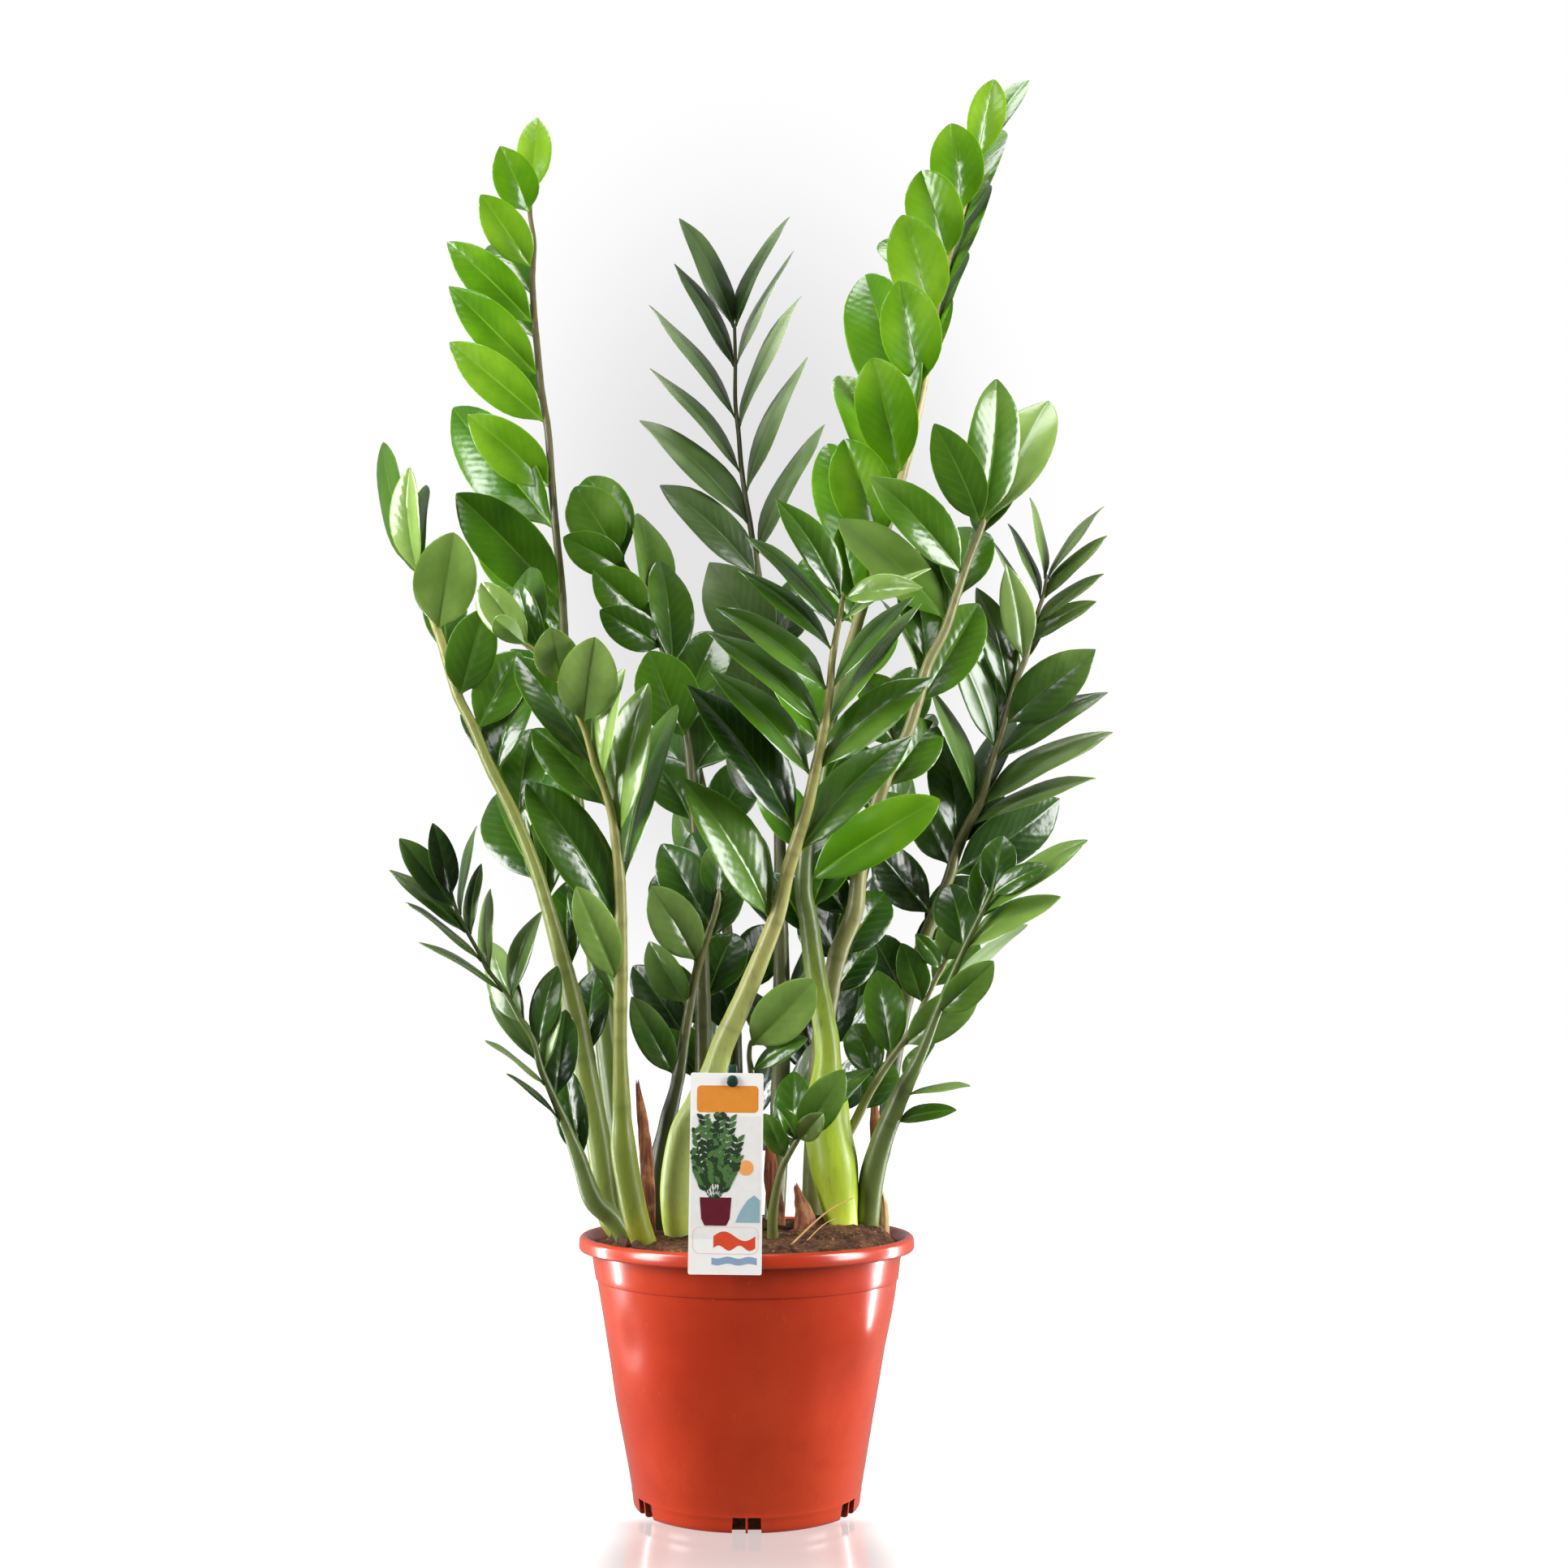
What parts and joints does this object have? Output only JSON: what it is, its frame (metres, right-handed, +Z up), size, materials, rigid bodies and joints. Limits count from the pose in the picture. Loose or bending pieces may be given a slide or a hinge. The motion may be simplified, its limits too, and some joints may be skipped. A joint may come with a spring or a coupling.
{
  "type": "potted zz plant",
  "caption": "Potted ZZ plant: upright arching fronds with two rows of glossy oval leaflets in a tapered moulded nursery pot of soil, with a hang card on a stake.",
  "frame": {"origin": "middle of the pot's flat underside, on the surface it stands on", "axes": "+Z up along the pot's axis, -Y towards the side with the hang card, +X to the right seen from that side"},
  "size_m": [0.5707, 0.4129, 1.1223],
  "materials": {
    "pot": "terracotta-coloured moulded plastic, glossy, softly dented",
    "soil": "loose brown potting peat with fibres and pale grains",
    "leaf_mid": "waxy mid-green leaflets on mottled olive stalks",
    "leaf_lime": "waxy young lime-green leaflets on a yellow-green stalk",
    "leaf_dark": "waxy deep-green leaflets on dark olive stalks",
    "sheath": "dry papery brown sheath",
    "tuber": "dull tan tuber skin",
    "card": null,
    "stake": "dark green moulded stake"
  },
  "bodies": {
    "root": {"pot": "pot", "soil": "soil", "frond_front_left": "leaf_mid", "frond_front_centre": "leaf_mid", "frond_left": "leaf_mid", "frond_left_tall": "leaf_mid", "frond_left_rear": "leaf_mid", "frond_left_low": "leaf_dark", "frond_rear_centre": "leaf_dark", "frond_right_tall": "leaf_lime", "frond_right_mid": "leaf_mid", "frond_right_narrow": "leaf_dark", "frond_right_low_thin": "leaf_mid", "frond_right_low": "leaf_mid", "frond_short": "leaf_dark", "frond_seedling": "leaf_mid", "frond_thin": "leaf_mid", "frond_rear_left": "leaf_dark", "frond_rear_right": "leaf_dark", "sheath_left": "sheath", "sheath_mid": "sheath", "sheath_scale": "sheath", "sheath_right": "sheath", "sheath_tuft": "sheath", "tuber_left": "tuber", "tuber_right": "tuber", "tuber_rear": "tuber", "label_card": "card", "label_stake": "stake"}
  },
  "joints": []
}
